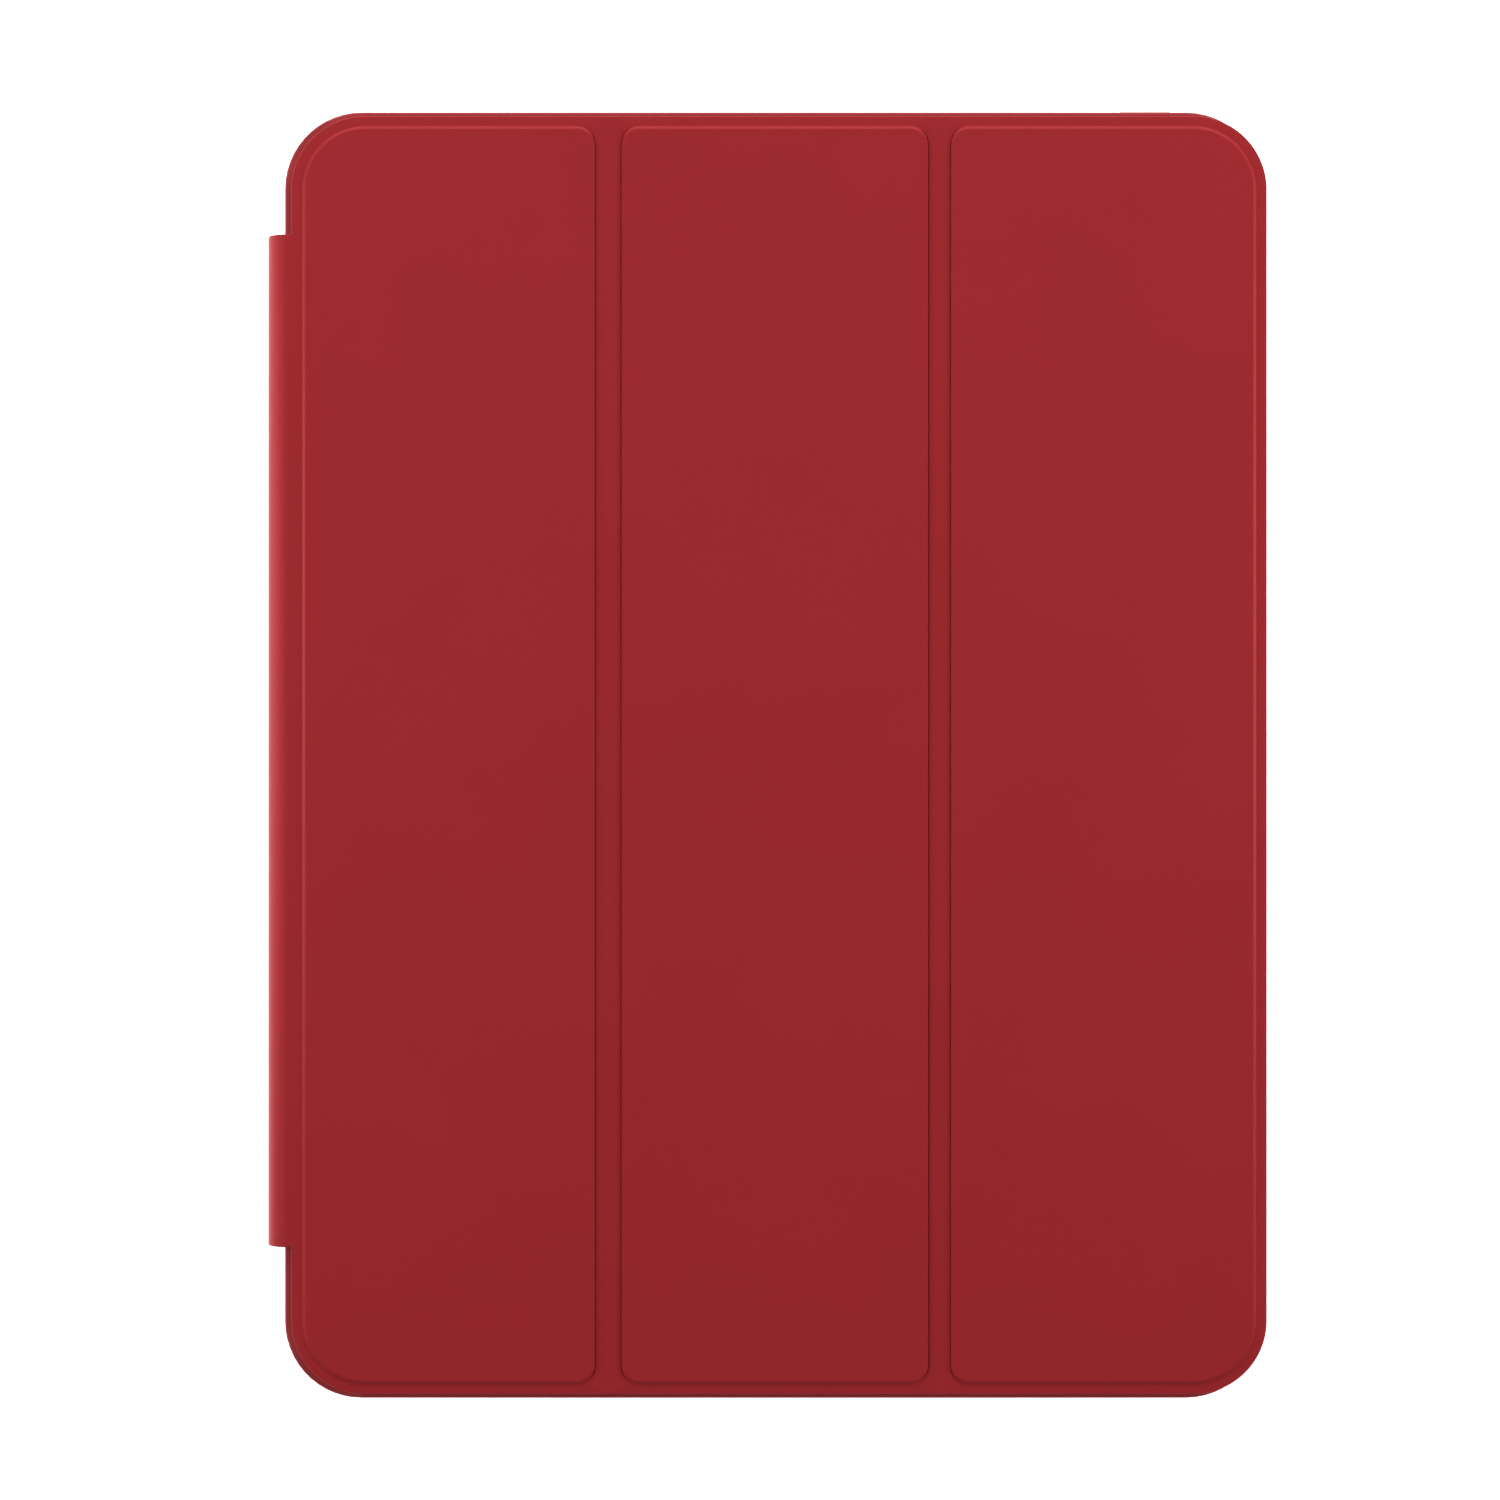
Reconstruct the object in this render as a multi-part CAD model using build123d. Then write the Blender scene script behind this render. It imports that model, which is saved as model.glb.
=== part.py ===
from build123d import *
import os

# Tri-fold folio case for a 13-inch-class tablet, closed, lying on its back.
# X runs across the case with the spine at -X, Y runs along the spine, Z points up out of the cover.
# All sizes are in millimetres. Shapes are drawn about the middle of the cover and moved at the end, so that
# the origin is the middle of the bottom of the whole case.

# ---------------------------------------------------------------- driving dimensions
# The tablet that the case holds
tablet_width = 214.9
tablet_length = 280.6
tablet_thickness = 6.4

# Cover: three stiff panels, with a fold line between each pair
cover_half_width = 107.4
cover_half_length = 140.7
cover_corner = 16.3
fold_1_x = -37.6
fold_2_x = 35.35
fold_1_half = 2.3
fold_2_half = 1.85
hem = 2.2

# Raised pads on the cover, one for each panel: left and right edges
pad_edges = {"panel_1": (-104.6, -40.6), "panel_2": (-34.65, 32.8), "panel_3": (37.9, 104.7)}
pad_half_length = 138.15
pad_outer_corner = 13.6
pad_inner_corner = 4.0
pad_edge_round = 0.3
board_inset = 0.8

# Heights, from the back of the case upwards
floor_top = 1.5
wall_top = 8.2
lining_bottom = 8.4
lining_top = 8.8
board_top = 9.8
cover_top = 9.9
pad_top = 10.4

# Back shell
shell_left = -109.05
shell_right = 106.75
shell_half_length = 141.9
shell_corner = 16.9
shell_bottom_round = 3.0
shell_top_round = 0.5
wall_end_x = 98.0
tablet_gap = 0.1
bay_corner = 15.3
lip_reach = 0.4
lip_thickness = 0.25

# Cut-outs in the shell
camera_window = 36.0
camera_corner = 9.0
camera_margin = 5.2
port_width = 14.0
port_height = 5.2
sound_slot_length = 26.0
sound_slot_height = 2.4
sound_slots = [(-72.0, 1), (58.0, 1), (-72.0, -1), (72.0, -1)]

# Spine: a half-round strip beside the shell, joined to it and to the cover by bare flexible skin
spine_low_y = -108.4
spine_high_y = 114.7
spine_centre_x = -108.15
spine_radius = cover_top / 2
spine_skin = 0.7
spine_board = 0.4
spine_lining = 0.4
stiff_half_angle = 30.0
strip_right = -95.0
strip_left = -107.0
strip_thickness = 0.7
base_lining_end = 250.0

# Power button
button_left = 75.35
button_right = 86.45
button_low = 3.55
button_high = 6.45
button_proud = 0.35
button_slot_gap = 0.15
flange_reach = 0.85
flange_thickness = 0.4
pocket_depth = 0.55

# Magnets in the boards
bar_length = 12.0
bar_width = 4.0
magnet_thickness = 0.8
magnet_gap = 0.1
bar_rows = [-105.0, -90.0, -75.0, -60.0, 60.0, 75.0, 90.0, 105.0]
stand_magnet_x = -100.0
closure_magnet_x = 100.0
sleep_magnet_radius = 4.0
sleep_magnet_place = (88.0, 20.0)

# Origin of the finished part, in the drawing's own coordinates
origin_x = (spine_centre_x - spine_radius + cover_half_width) / 2
origin_y = button_proud / 2


# ---------------------------------------------------------------- helpers
def block(x, y, z):
    """Box between pairs of X, Y and Z values."""
    size = Box(x[1] - x[0], y[1] - y[0], z[1] - z[0])
    return Pos((x[0] + x[1]) / 2, (y[0] + y[1]) / 2, (z[0] + z[1]) / 2) * size


def plate(left, right, half_length, left_corner, right_corner, bottom, top):
    """Flat plate, centred on Y, with its own corner radius on the left and on the right."""
    outline = Pos((left + right) / 2, 0) * Rectangle(right - left, 2 * half_length)
    if right_corner:
        outline = fillet(outline.vertices().group_by(Axis.X)[-1], right_corner)
    if left_corner:
        outline = fillet(outline.vertices().group_by(Axis.X)[0], left_corner)
    return Pos(0, 0, bottom) * extrude(outline, top - bottom)


def ring_sector(inner, outer, start, end):
    """Face between two radii and two angles about the spine's centre line, seen along Y."""
    outside = CenterArc((spine_centre_x, spine_radius), outer, start, end - start)
    inside = CenterArc((spine_centre_x, spine_radius), inner, start, end - start)
    return make_face([outside, Line(outside @ 1, inside @ 1), inside, Line(inside @ 0, outside @ 0)])


def flat_section(left, right, bottom, top):
    """Rectangle seen along Y."""
    return Pos((left + right) / 2, (bottom + top) / 2) * Rectangle(right - left, top - bottom)


def along_spine(section, inset=0.0):
    """Runs a section seen along Y over the spine's length, less an inset at each end."""
    start = Plane.XZ.offset(-(spine_high_y - inset))
    return extrude(start * section, spine_high_y - spine_low_y - 2 * inset)


def magnet_bars(x, gap=0.0):
    """Row of bar magnets along Y at one X, or their pockets if a gap is given."""
    middle = (lining_top + board_top) / 2
    size = (bar_width + 2 * gap, bar_length + 2 * gap, magnet_thickness + 2 * gap)
    return [Pos(x, y, middle) * Box(*size) for y in bar_rows]


def sleep_disc(gap=0.0):
    """Disc magnet that switches the tablet on and off, or its pocket if a gap is given."""
    middle = (lining_top + board_top) / 2
    return Pos(*sleep_magnet_place, middle) * Cylinder(sleep_magnet_radius + gap, magnet_thickness + 2 * gap)


# ---------------------------------------------------------------- back shell and its button
def tablet_bay(inset, bottom, top):
    """Space for the tablet, open past the shell's right edge."""
    left = -tablet_width / 2 - tablet_gap + inset
    half = tablet_length / 2 + tablet_gap - inset
    return plate(left, tablet_width / 2 + tablet_gap, half, bay_corner, bay_corner, bottom, top)


def sound_slot(x, side):
    """Long slot through the top (side 1) or bottom (side -1) wall, in front of a loudspeaker."""
    middle = floor_top + tablet_thickness / 2
    outline = SlotOverall(sound_slot_length, sound_slot_height)
    slot = extrude(Plane.XZ * outline, shell_half_length / 8, both=True)
    return Pos(x, side * shell_half_length, middle) * slot


def charging_port():
    """Slot for the charging plug, in the middle of the bottom wall."""
    outline = RectangleRounded(port_width, port_height, port_height / 2 - 0.2)
    slot = extrude(Plane.XZ * outline, shell_half_length / 8, both=True)
    return Pos(0, -shell_half_length, floor_top + tablet_thickness / 2) * slot


def camera_hole():
    """Rounded square hole in the floor, behind the tablet's cameras."""
    x = tablet_width / 2 - camera_margin - camera_window / 2
    y = tablet_length / 2 - camera_margin - camera_window / 2
    outline = RectangleRounded(camera_window, camera_window, camera_corner)
    return Pos(x, y, -floor_top) * extrude(outline, 3 * floor_top)


def button_slot():
    """Stepped hole in the top wall: a slot for the key and a pocket inside it for the flange."""
    inner = tablet_length / 2 + tablet_gap
    gap = button_slot_gap
    reach = flange_reach + gap
    key = block(
        (button_left - gap, button_right + gap),
        (inner - 1, shell_half_length + 1),
        (button_low - gap, button_high + gap),
    )
    pocket = block(
        (button_left - reach, button_right + reach),
        (inner - 1, inner + pocket_depth),
        (button_low - reach, button_high + reach),
    )
    return key + pocket


def make_back_shell():
    """Moulded tray: floor, three walls with a small lip over the tablet, and an open right side."""
    outer = plate(shell_left, shell_right, shell_half_length, shell_corner, shell_corner, 0, wall_top)
    outer = fillet(outer.edges().group_by(Axis.Z)[0], shell_bottom_round)
    outer = fillet(outer.edges().group_by(Axis.Z)[-1], shell_top_round)
    shell = outer - tablet_bay(0, floor_top, wall_top - lip_thickness)
    shell -= tablet_bay(lip_reach, wall_top - lip_thickness, wall_top + 1)
    far = 2 * cover_half_length
    shell -= block((wall_end_x, far), (-far, far), (floor_top, wall_top + 1))
    recess = block((shell_left - 1, strip_right), (spine_low_y, spine_high_y), (-1, strip_thickness))
    shell -= recess
    for x, side in sound_slots:
        shell -= sound_slot(x, side)
    shell -= charging_port()
    shell -= camera_hole()
    shell -= button_slot()
    return shell


def make_power_button():
    """Key with a flange that keeps it in the wall."""
    inner = tablet_length / 2 + tablet_gap
    flange_outside = inner + pocket_depth - 0.05
    key = block(
        (button_left, button_right),
        (flange_outside, shell_half_length + button_proud),
        (button_low, button_high),
    )
    key = fillet(key.edges().group_by(Axis.Y)[-1], 0.2)
    flange = block(
        (button_left - flange_reach, button_right + flange_reach),
        (flange_outside - flange_thickness, flange_outside),
        (button_low - flange_reach, button_high + flange_reach),
    )
    return key + flange


# ---------------------------------------------------------------- cover panels
panel_edges = {
    "panel_1": (-cover_half_width, fold_1_x - fold_1_half),
    "panel_2": (fold_1_x + fold_1_half, fold_2_x - fold_2_half),
    "panel_3": (fold_2_x + fold_2_half, cover_half_width),
}
outer_sides = {"panel_1": (1, 0), "panel_2": (0, 0), "panel_3": (0, 1)}


def board_shape(name, bottom, top):
    """Stiff board under a pad, or the pocket that holds it."""
    left, right = pad_edges[name]
    corners = [pad_inner_corner + outer * (pad_outer_corner - pad_inner_corner) for outer in outer_sides[name]]
    return plate(
        left + board_inset,
        right - board_inset,
        pad_half_length - board_inset,
        corners[0] - board_inset,
        corners[1] - board_inset,
        bottom,
        top,
    )


def lining_shape(name, bottom, top):
    """Lining under a panel: it stops at the hem on every outer edge, except where it runs on round the spine."""
    left, right = panel_edges[name]
    at_left, at_right = outer_sides[name]
    corner = cover_corner - hem
    half = cover_half_length - hem
    lining = plate(left + at_left * hem, right - at_right * hem, half, at_left * corner, at_right * corner, bottom, top)
    if at_left:
        lining += block((left, left + 2 * hem), (spine_low_y + hem, spine_high_y - hem), (bottom, top))
    return lining


def make_panel_skin(name):
    """Outer skin with a raised pad above, a pocket for the board and a hem round the lining."""
    left, right = panel_edges[name]
    corners = [outer * cover_corner for outer in outer_sides[name]]
    skin = plate(left, right, cover_half_length, *corners, lining_bottom, cover_top)
    pad_left, pad_right = pad_edges[name]
    pad_corners = [
        pad_inner_corner + outer * (pad_outer_corner - pad_inner_corner) for outer in outer_sides[name]
    ]
    pad = plate(pad_left, pad_right, pad_half_length, *pad_corners, lining_top, pad_top)
    pad = fillet(pad.edges().group_by(Axis.Z)[-1], pad_edge_round)
    skin += pad
    skin -= lining_shape(name, lining_bottom, lining_top)
    skin -= board_shape(name, lining_top, board_top)
    return skin


def make_board(name):
    """Board with pockets for the magnets that it carries."""
    board = board_shape(name, lining_top, board_top)
    if name == "panel_1":
        for pocket in magnet_bars(stand_magnet_x, magnet_gap):
            board -= pocket
    if name == "panel_3":
        for pocket in magnet_bars(closure_magnet_x, magnet_gap):
            board -= pocket
        board -= sleep_disc(magnet_gap)
    return board


def make_fold(x, half, bottom, top, inset):
    """Bare strip of skin or lining across a fold line."""
    length = cover_half_length - inset
    return block((x - half, x + half), (-length, length), (bottom, top))


# ---------------------------------------------------------------- spine
skin_in = spine_radius - spine_skin
board_in = skin_in - spine_board
lining_in = board_in - spine_lining
stiff_top = 180 - stiff_half_angle
stiff_bottom = 180 + stiff_half_angle

spine_sections = {
    "spine_skin": ring_sector(skin_in, spine_radius, stiff_top, stiff_bottom),
    "spine_board": ring_sector(board_in, skin_in, stiff_top, stiff_bottom),
    "spine_top_hinge_skin": ring_sector(board_in, spine_radius, 90, stiff_top)
    + flat_section(spine_centre_x, -cover_half_width, lining_top, cover_top),
    "spine_base_hinge_skin": ring_sector(board_in, spine_radius, stiff_bottom, base_lining_end)
    + ring_sector(skin_in, spine_radius, base_lining_end, 270)
    + flat_section(spine_centre_x, strip_left, 0, strip_thickness),
    "back_strip_skin": flat_section(strip_left, strip_right, 0, strip_thickness),
}
spine_lining_sections = {
    "spine_lining": ring_sector(lining_in, board_in, stiff_top, stiff_bottom),
    "spine_top_hinge_lining": ring_sector(lining_in, board_in, 90, stiff_top)
    + flat_section(spine_centre_x, -cover_half_width, lining_bottom, lining_top),
    "spine_base_hinge_lining": ring_sector(lining_in, board_in, stiff_bottom, base_lining_end),
}
# The skin is turned in at both ends of the spine, and fills the room of the board and lining there.
spine_hem_sections = {
    "spine_skin": ring_sector(lining_in, skin_in, stiff_top, stiff_bottom),
    "spine_top_hinge_skin": spine_lining_sections["spine_top_hinge_lining"],
    "spine_base_hinge_skin": spine_lining_sections["spine_base_hinge_lining"],
}


# ---------------------------------------------------------------- assembly
nodes = {"back_shell": make_back_shell(), "power_button": make_power_button()}
for node, section in spine_sections.items():
    nodes[node] = along_spine(section)
for node, section in spine_lining_sections.items():
    nodes[node] = along_spine(section, hem)
nodes["spine_board"] = along_spine(spine_sections["spine_board"], hem)
for node, section in spine_hem_sections.items():
    nodes[node] += along_spine(section) - along_spine(section, hem)
for name in panel_edges:
    nodes[name + "_skin"] = make_panel_skin(name)
    nodes[name + "_board"] = make_board(name)
    nodes[name + "_lining"] = lining_shape(name, lining_bottom, lining_top)
for name, x, half in (("fold_1", fold_1_x, fold_1_half), ("fold_2", fold_2_x, fold_2_half)):
    nodes[name + "_skin"] = make_fold(x, half, lining_top, cover_top, 0)
    nodes[name + "_lining"] = make_fold(x, half, lining_bottom, lining_top, hem)
    for end in (-1, 1):
        reach = (cover_half_length - hem, cover_half_length)
        edge = block((x - half, x + half), sorted(end * y for y in reach), (lining_bottom, lining_top))
        nodes[name + "_skin"] += edge
nodes["stand_magnets"] = Compound(magnet_bars(stand_magnet_x))
nodes["closure_magnets"] = Compound(magnet_bars(closure_magnet_x))
nodes["sleep_magnet"] = sleep_disc()

os.makedirs("parts", exist_ok=True)
for node, shape in nodes.items():
    export_step(Pos(-origin_x, -origin_y, 0) * shape, f"parts/{node}.step")
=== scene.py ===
"""Tri-fold tablet folio case: skin, lining, shell, button, inner boards and magnets, and a soft studio stage."""

import math

import bmesh
import bpy
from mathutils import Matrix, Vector


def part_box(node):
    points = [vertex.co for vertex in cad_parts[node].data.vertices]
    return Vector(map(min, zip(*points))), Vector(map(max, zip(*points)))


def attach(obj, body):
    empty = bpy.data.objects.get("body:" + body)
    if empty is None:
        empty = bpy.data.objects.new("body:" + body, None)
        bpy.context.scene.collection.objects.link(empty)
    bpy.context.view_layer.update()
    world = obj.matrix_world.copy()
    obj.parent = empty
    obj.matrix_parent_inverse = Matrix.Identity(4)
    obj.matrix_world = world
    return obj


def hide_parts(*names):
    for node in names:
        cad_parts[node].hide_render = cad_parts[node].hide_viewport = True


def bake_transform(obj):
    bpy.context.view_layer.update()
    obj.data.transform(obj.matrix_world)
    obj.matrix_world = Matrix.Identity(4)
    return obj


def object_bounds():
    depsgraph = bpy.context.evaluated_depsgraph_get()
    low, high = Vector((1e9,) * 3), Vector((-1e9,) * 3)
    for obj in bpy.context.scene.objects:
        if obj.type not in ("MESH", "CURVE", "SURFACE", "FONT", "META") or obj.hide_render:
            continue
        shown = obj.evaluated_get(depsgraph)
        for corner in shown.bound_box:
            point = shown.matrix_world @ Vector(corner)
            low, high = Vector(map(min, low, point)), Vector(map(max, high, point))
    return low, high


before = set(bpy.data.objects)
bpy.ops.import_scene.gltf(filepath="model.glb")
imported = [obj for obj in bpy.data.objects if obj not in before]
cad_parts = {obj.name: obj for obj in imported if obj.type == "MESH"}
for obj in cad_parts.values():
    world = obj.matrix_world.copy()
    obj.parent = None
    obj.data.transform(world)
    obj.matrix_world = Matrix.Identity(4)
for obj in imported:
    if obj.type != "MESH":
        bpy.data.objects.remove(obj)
cad_low, cad_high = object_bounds()

bl_info = {
    "name": "Tri-fold Tablet Folio Case",
    "version": (1, 0, 0),
    "blender": (4, 5, 0),
    "location": "3D View > Sidebar > Folio Case",
    "description": "Skin, lining, shell, button and stage for a closed tri-fold tablet case",
    "category": "Object",
}

MM = 0.001
PANELS = ("panel_1", "panel_2", "panel_3")
NEAR = 0.002 * MM  # a cut this close to an edge runs along it
TOUCHING = 0.02 * MM  # a vertex this close to a line counts as on it
WELD = 0.005 * MM  # vertices this close together are made one


# ---------------------------------------------------------------- sizes read from the frame
class Layout:
    """Edges and heights of the case, in metres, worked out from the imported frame."""

    def __init__(self, sizes):
        skins = {name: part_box(f"{name}_skin") for name in PANELS}
        boards = {name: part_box(f"{name}_board") for name in PANELS}
        self.left = skins["panel_1"][0].x
        self.right = skins["panel_3"][1].x
        self.low, self.high = skins["panel_1"][0].y, skins["panel_1"][1].y
        self.middle_y = (self.low + self.high) / 2
        self.under = skins["panel_1"][0].z
        self.pad_top = skins["panel_1"][1].z
        self.margin_top = self.pad_top - sizes.pad_height
        self.lining_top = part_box("panel_1_lining")[1].z
        self.strips = [(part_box(f"{fold}_skin")[0].x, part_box(f"{fold}_skin")[1].x) for fold in ("fold_1", "fold_2")]
        self.panel_edges = {
            "panel_1": (self.left, self.strips[0][0]),
            "panel_2": (self.strips[0][1], self.strips[1][0]),
            "panel_3": (self.strips[1][1], self.right),
        }
        inset = sizes.board_inset
        self.pads = {name: (box[0].x - inset, box[1].x + inset) for name, box in boards.items()}
        self.pad_low, self.pad_high = boards["panel_1"][0].y - inset, boards["panel_1"][1].y + inset
        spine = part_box("spine_skin")
        self.spine_low, self.spine_high = spine[0].y, spine[1].y
        self.spine_radius = self.margin_top / 2
        self.spine_x = spine[0].x + self.spine_radius
        self.strip_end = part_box("back_strip_skin")[1].x
        self.seam_z = self.spine_radius * (1 - math.sin(math.radians(sizes.seam_angle)))
        self.cuts = [sum(self.pads[name]) / 2 for name in ("panel_1", "panel_2")]

    def inside_outline(self, x, y, corner):
        """How far a point lies inside the cover's rounded outline."""
        half_x, half_y = (self.right - self.left) / 2, (self.high - self.low) / 2
        dx = abs(x - (self.left + self.right) / 2) - half_x + corner
        dy = abs(y - self.middle_y) - half_y + corner
        outside = math.hypot(max(dx, 0), max(dy, 0)) + min(max(dx, dy), 0)
        return corner - outside


# ---------------------------------------------------------------- properties
class FolioSizes(bpy.types.PropertyGroup):
    """Sizes of the cover and shell that the frame doesn't hold, in metres."""

    pad_height: bpy.props.FloatProperty(
        name="Pad height", description="Rise of each panel over the margin", default=0.5 * MM, unit="LENGTH"
    )
    board_inset: bpy.props.FloatProperty(
        name="Board inset", description="From a pad's edge to the board inside it", default=0.8 * MM, unit="LENGTH"
    )
    cover_corner: bpy.props.FloatProperty(
        name="Cover corner", description="Radius of the cover's outer corners", default=16.3 * MM, unit="LENGTH"
    )
    pad_corner: bpy.props.FloatProperty(
        name="Pad outer corner", description="Pad radius at the cover's corners", default=13.6 * MM, unit="LENGTH"
    )
    groove_corner: bpy.props.FloatProperty(
        name="Pad groove corner", description="Pad radius beside a groove", default=4.0 * MM, unit="LENGTH"
    )
    groove_share: bpy.props.FloatProperty(
        name="Groove side share", description="Width of a pad's slope in a groove against the outer edges", default=0.04
    )
    crease: bpy.props.FloatProperty(
        name="Crease", description="Depth of the pressed line at a pad's foot in a groove", default=0.22 * MM,
        unit="LENGTH",
    )
    skin_thickness: bpy.props.FloatProperty(
        name="Skin thickness", description="Thickness of the leather-look skin", default=0.6 * MM, unit="LENGTH"
    )
    strip_thickness: bpy.props.FloatProperty(
        name="Spine skin thickness", description="Thickness of the skin on the spine and under the shell",
        default=0.7 * MM, unit="LENGTH",
    )
    hem: bpy.props.FloatProperty(
        name="Hem", description="Width of the edge that is turned in", default=2.2 * MM, unit="LENGTH"
    )
    hem_round: bpy.props.FloatProperty(
        name="Hem rounding", description="Radius of the cover's turned edges", default=0.2 * MM, unit="LENGTH"
    )
    seam_angle: bpy.props.FloatProperty(
        name="Seam angle", description="Degrees below the spine's crest where its skin is divided", default=25.0
    )
    lining_gap: bpy.props.FloatProperty(
        name="Lining gap", description="Fine gap between hem and lining", default=0.08 * MM, unit="LENGTH"
    )


class FolioColours(bpy.types.PropertyGroup):
    """Colours of the case's finishes, as sRGB hex values."""

    leather: bpy.props.StringProperty(name="Leather", description="Skin colour", default="892428")
    lining: bpy.props.StringProperty(name="Lining", description="Microfibre colour", default="74181D")
    shell: bpy.props.StringProperty(name="Shell", description="Polycarbonate colour", default="8F3034")
    board: bpy.props.StringProperty(name="Board", description="Stiffener board colour", default="3A3A3E")
    nickel: bpy.props.StringProperty(name="Magnet", description="Nickel plating colour", default="C8C4BC")
    floor: bpy.props.StringProperty(name="Floor", description="Studio floor colour", default="F4F4F4")


class FolioStage(bpy.types.PropertyGroup):
    """Camera and light settings."""

    camera_distance: bpy.props.FloatProperty(
        name="Camera distance", description="From the pads up to the lens", default=0.740, unit="LENGTH"
    )
    field_width: bpy.props.FloatProperty(
        name="Field width", description="Width seen at the pads' height", default=0.330, unit="LENGTH"
    )
    aim_x: bpy.props.FloatProperty(name="Aim X", description="Middle of the view, X", default=-3.54 * MM, unit="LENGTH")
    aim_y: bpy.props.FloatProperty(name="Aim Y", description="Middle of the view, Y", default=0.955 * MM, unit="LENGTH")
    side_light: bpy.props.FloatProperty(name="Side lights", description="Power of each side strip", default=8.2)
    head_light: bpy.props.FloatProperty(name="Head light", description="Power of the strip beyond the top", default=8.8)
    fill: bpy.props.FloatProperty(name="Fill", description="Light from the white room", default=0.22)
    floor_drop: bpy.props.FloatProperty(
        name="Floor drop", description="Room under the case for the cover when it is folded right round behind it",
        default=18.0 * MM, unit="LENGTH",
    )


# ---------------------------------------------------------------- modelling helpers
def use(piece):
    """Makes a piece the only selected one, and active."""
    bpy.ops.object.select_all(action="DESELECT")
    piece.select_set(True)
    bpy.context.view_layer.objects.active = piece
    return piece


def add_plane(name, x, y, z):
    """Flat rectangle between two X and two Y values, at a height, in edit mode."""
    bpy.ops.object.select_all(action="DESELECT")
    bpy.ops.mesh.primitive_plane_add(size=1, location=((x[0] + x[1]) / 2, (y[0] + y[1]) / 2, z))
    piece = bpy.context.object
    piece.name = piece.data.name = name
    piece.scale = (x[1] - x[0], y[1] - y[0], 1)
    bpy.ops.object.transform_apply(location=True, rotation=False, scale=True)
    bpy.ops.object.mode_set(mode="EDIT")
    return piece


def pick(piece, kind, test):
    """In edit mode, selects the vertices, edges or faces whose middle passes the test."""
    bpy.ops.mesh.select_mode(type=kind)
    bpy.ops.mesh.select_all(action="DESELECT")
    mesh = bmesh.from_edit_mesh(piece.data)
    for part in {"VERT": mesh.verts, "EDGE": mesh.edges, "FACE": mesh.faces}[kind]:
        corners = [part] if kind == "VERT" else part.verts
        middle = sum((corner.co for corner in corners), Vector()) / len(corners)
        if test(middle):
            part.select_set(True)
    mesh.select_flush_mode()
    bmesh.update_edit_mesh(piece.data)


def cut_lines(piece, places, axis, test=lambda p: True):
    """In edit mode, cuts the faces that pass the test by planes square to an axis."""
    normal = [0, 0, 0]
    normal[axis] = 1
    for place in places:
        pick(piece, "FACE", test)
        bpy.ops.mesh.bisect(plane_co=[place * share for share in normal], plane_no=normal, threshold=NEAR)


def apply_modifier(piece, kind, **settings):
    """Adds a modifier to a piece in object mode and applies it."""
    use(piece)
    modifier = piece.modifiers.new(kind.title(), kind)
    for name, value in settings.items():
        setattr(modifier, name, value)
    bpy.ops.object.modifier_apply(modifier=modifier.name)


def even(low, high, count):
    """Places that divide a stretch into equal parts, its ends left out."""
    return [low + (high - low) * i / count for i in range(1, count)]


def face_up(piece):
    """Turns an open sheet so that its highest flat faces look upwards."""
    use(piece)
    bpy.ops.object.mode_set(mode="EDIT")
    bpy.ops.mesh.select_all(action="SELECT")
    bpy.ops.mesh.normals_make_consistent(inside=False)
    bpy.ops.object.mode_set(mode="OBJECT")
    widest = max(piece.data.polygons, key=lambda face: face.area)
    if widest.normal.z < 0:
        piece.data.flip_normals()


def keep_between(source, name, low=None, high=None, axis=0):
    """Copy of a finished piece, cut square at one or two places along an axis and closed there."""
    use(source)
    bpy.ops.object.duplicate()
    piece = bpy.context.object
    piece.name = piece.data.name = name
    bpy.ops.object.mode_set(mode="EDIT")
    normal = [0, 0, 0]
    normal[axis] = 1
    for place, inner, outer in ((low, True, False), (high, False, True)):
        if place is None:
            continue
        point = [0, 0, 0]
        point[axis] = place
        bpy.ops.mesh.select_all(action="SELECT")
        bpy.ops.mesh.bisect(
            plane_co=point, plane_no=normal, use_fill=True, clear_inner=inner, clear_outer=outer, threshold=NEAR
        )
    bpy.ops.object.mode_set(mode="OBJECT")
    return piece


def shade(piece, degrees):
    """Smooth shading, with edges sharper than an angle left crisp."""
    use(piece)
    bpy.ops.object.shade_smooth_by_angle(angle=math.radians(degrees), keep_sharp_edges=False)


def finish_piece(piece, material, nodes):
    """Gives a piece its material and hides the CAD nodes that it stands for."""
    piece.data.materials.clear()
    piece.data.materials.append(material)
    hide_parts(*nodes)


# ---------------------------------------------------------------- materials
def linear(code):
    """sRGB hex colour as linear red, green, blue and alpha."""
    values = [int(code[i : i + 2], 16) / 255 for i in (0, 2, 4)]
    return [v / 12.92 if v <= 0.04045 else ((v + 0.055) / 1.055) ** 2.4 for v in values] + [1.0]


def add_node(tree, kind, settings=None, **links):
    """Adds a shader node with its settings, its input values, and links from other nodes' outputs."""
    node = tree.nodes.new(kind)
    for name, value in (settings or {}).items():
        setattr(node, name, value)
    for name, value in links.items():
        socket = node.inputs[name.replace("_", " ")] if not name[-1].isdigit() else node.inputs[int(name.split("_")[1])]
        if isinstance(value, bpy.types.NodeSocket):
            tree.links.new(value, socket)
        else:
            socket.default_value = value
    return node


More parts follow.
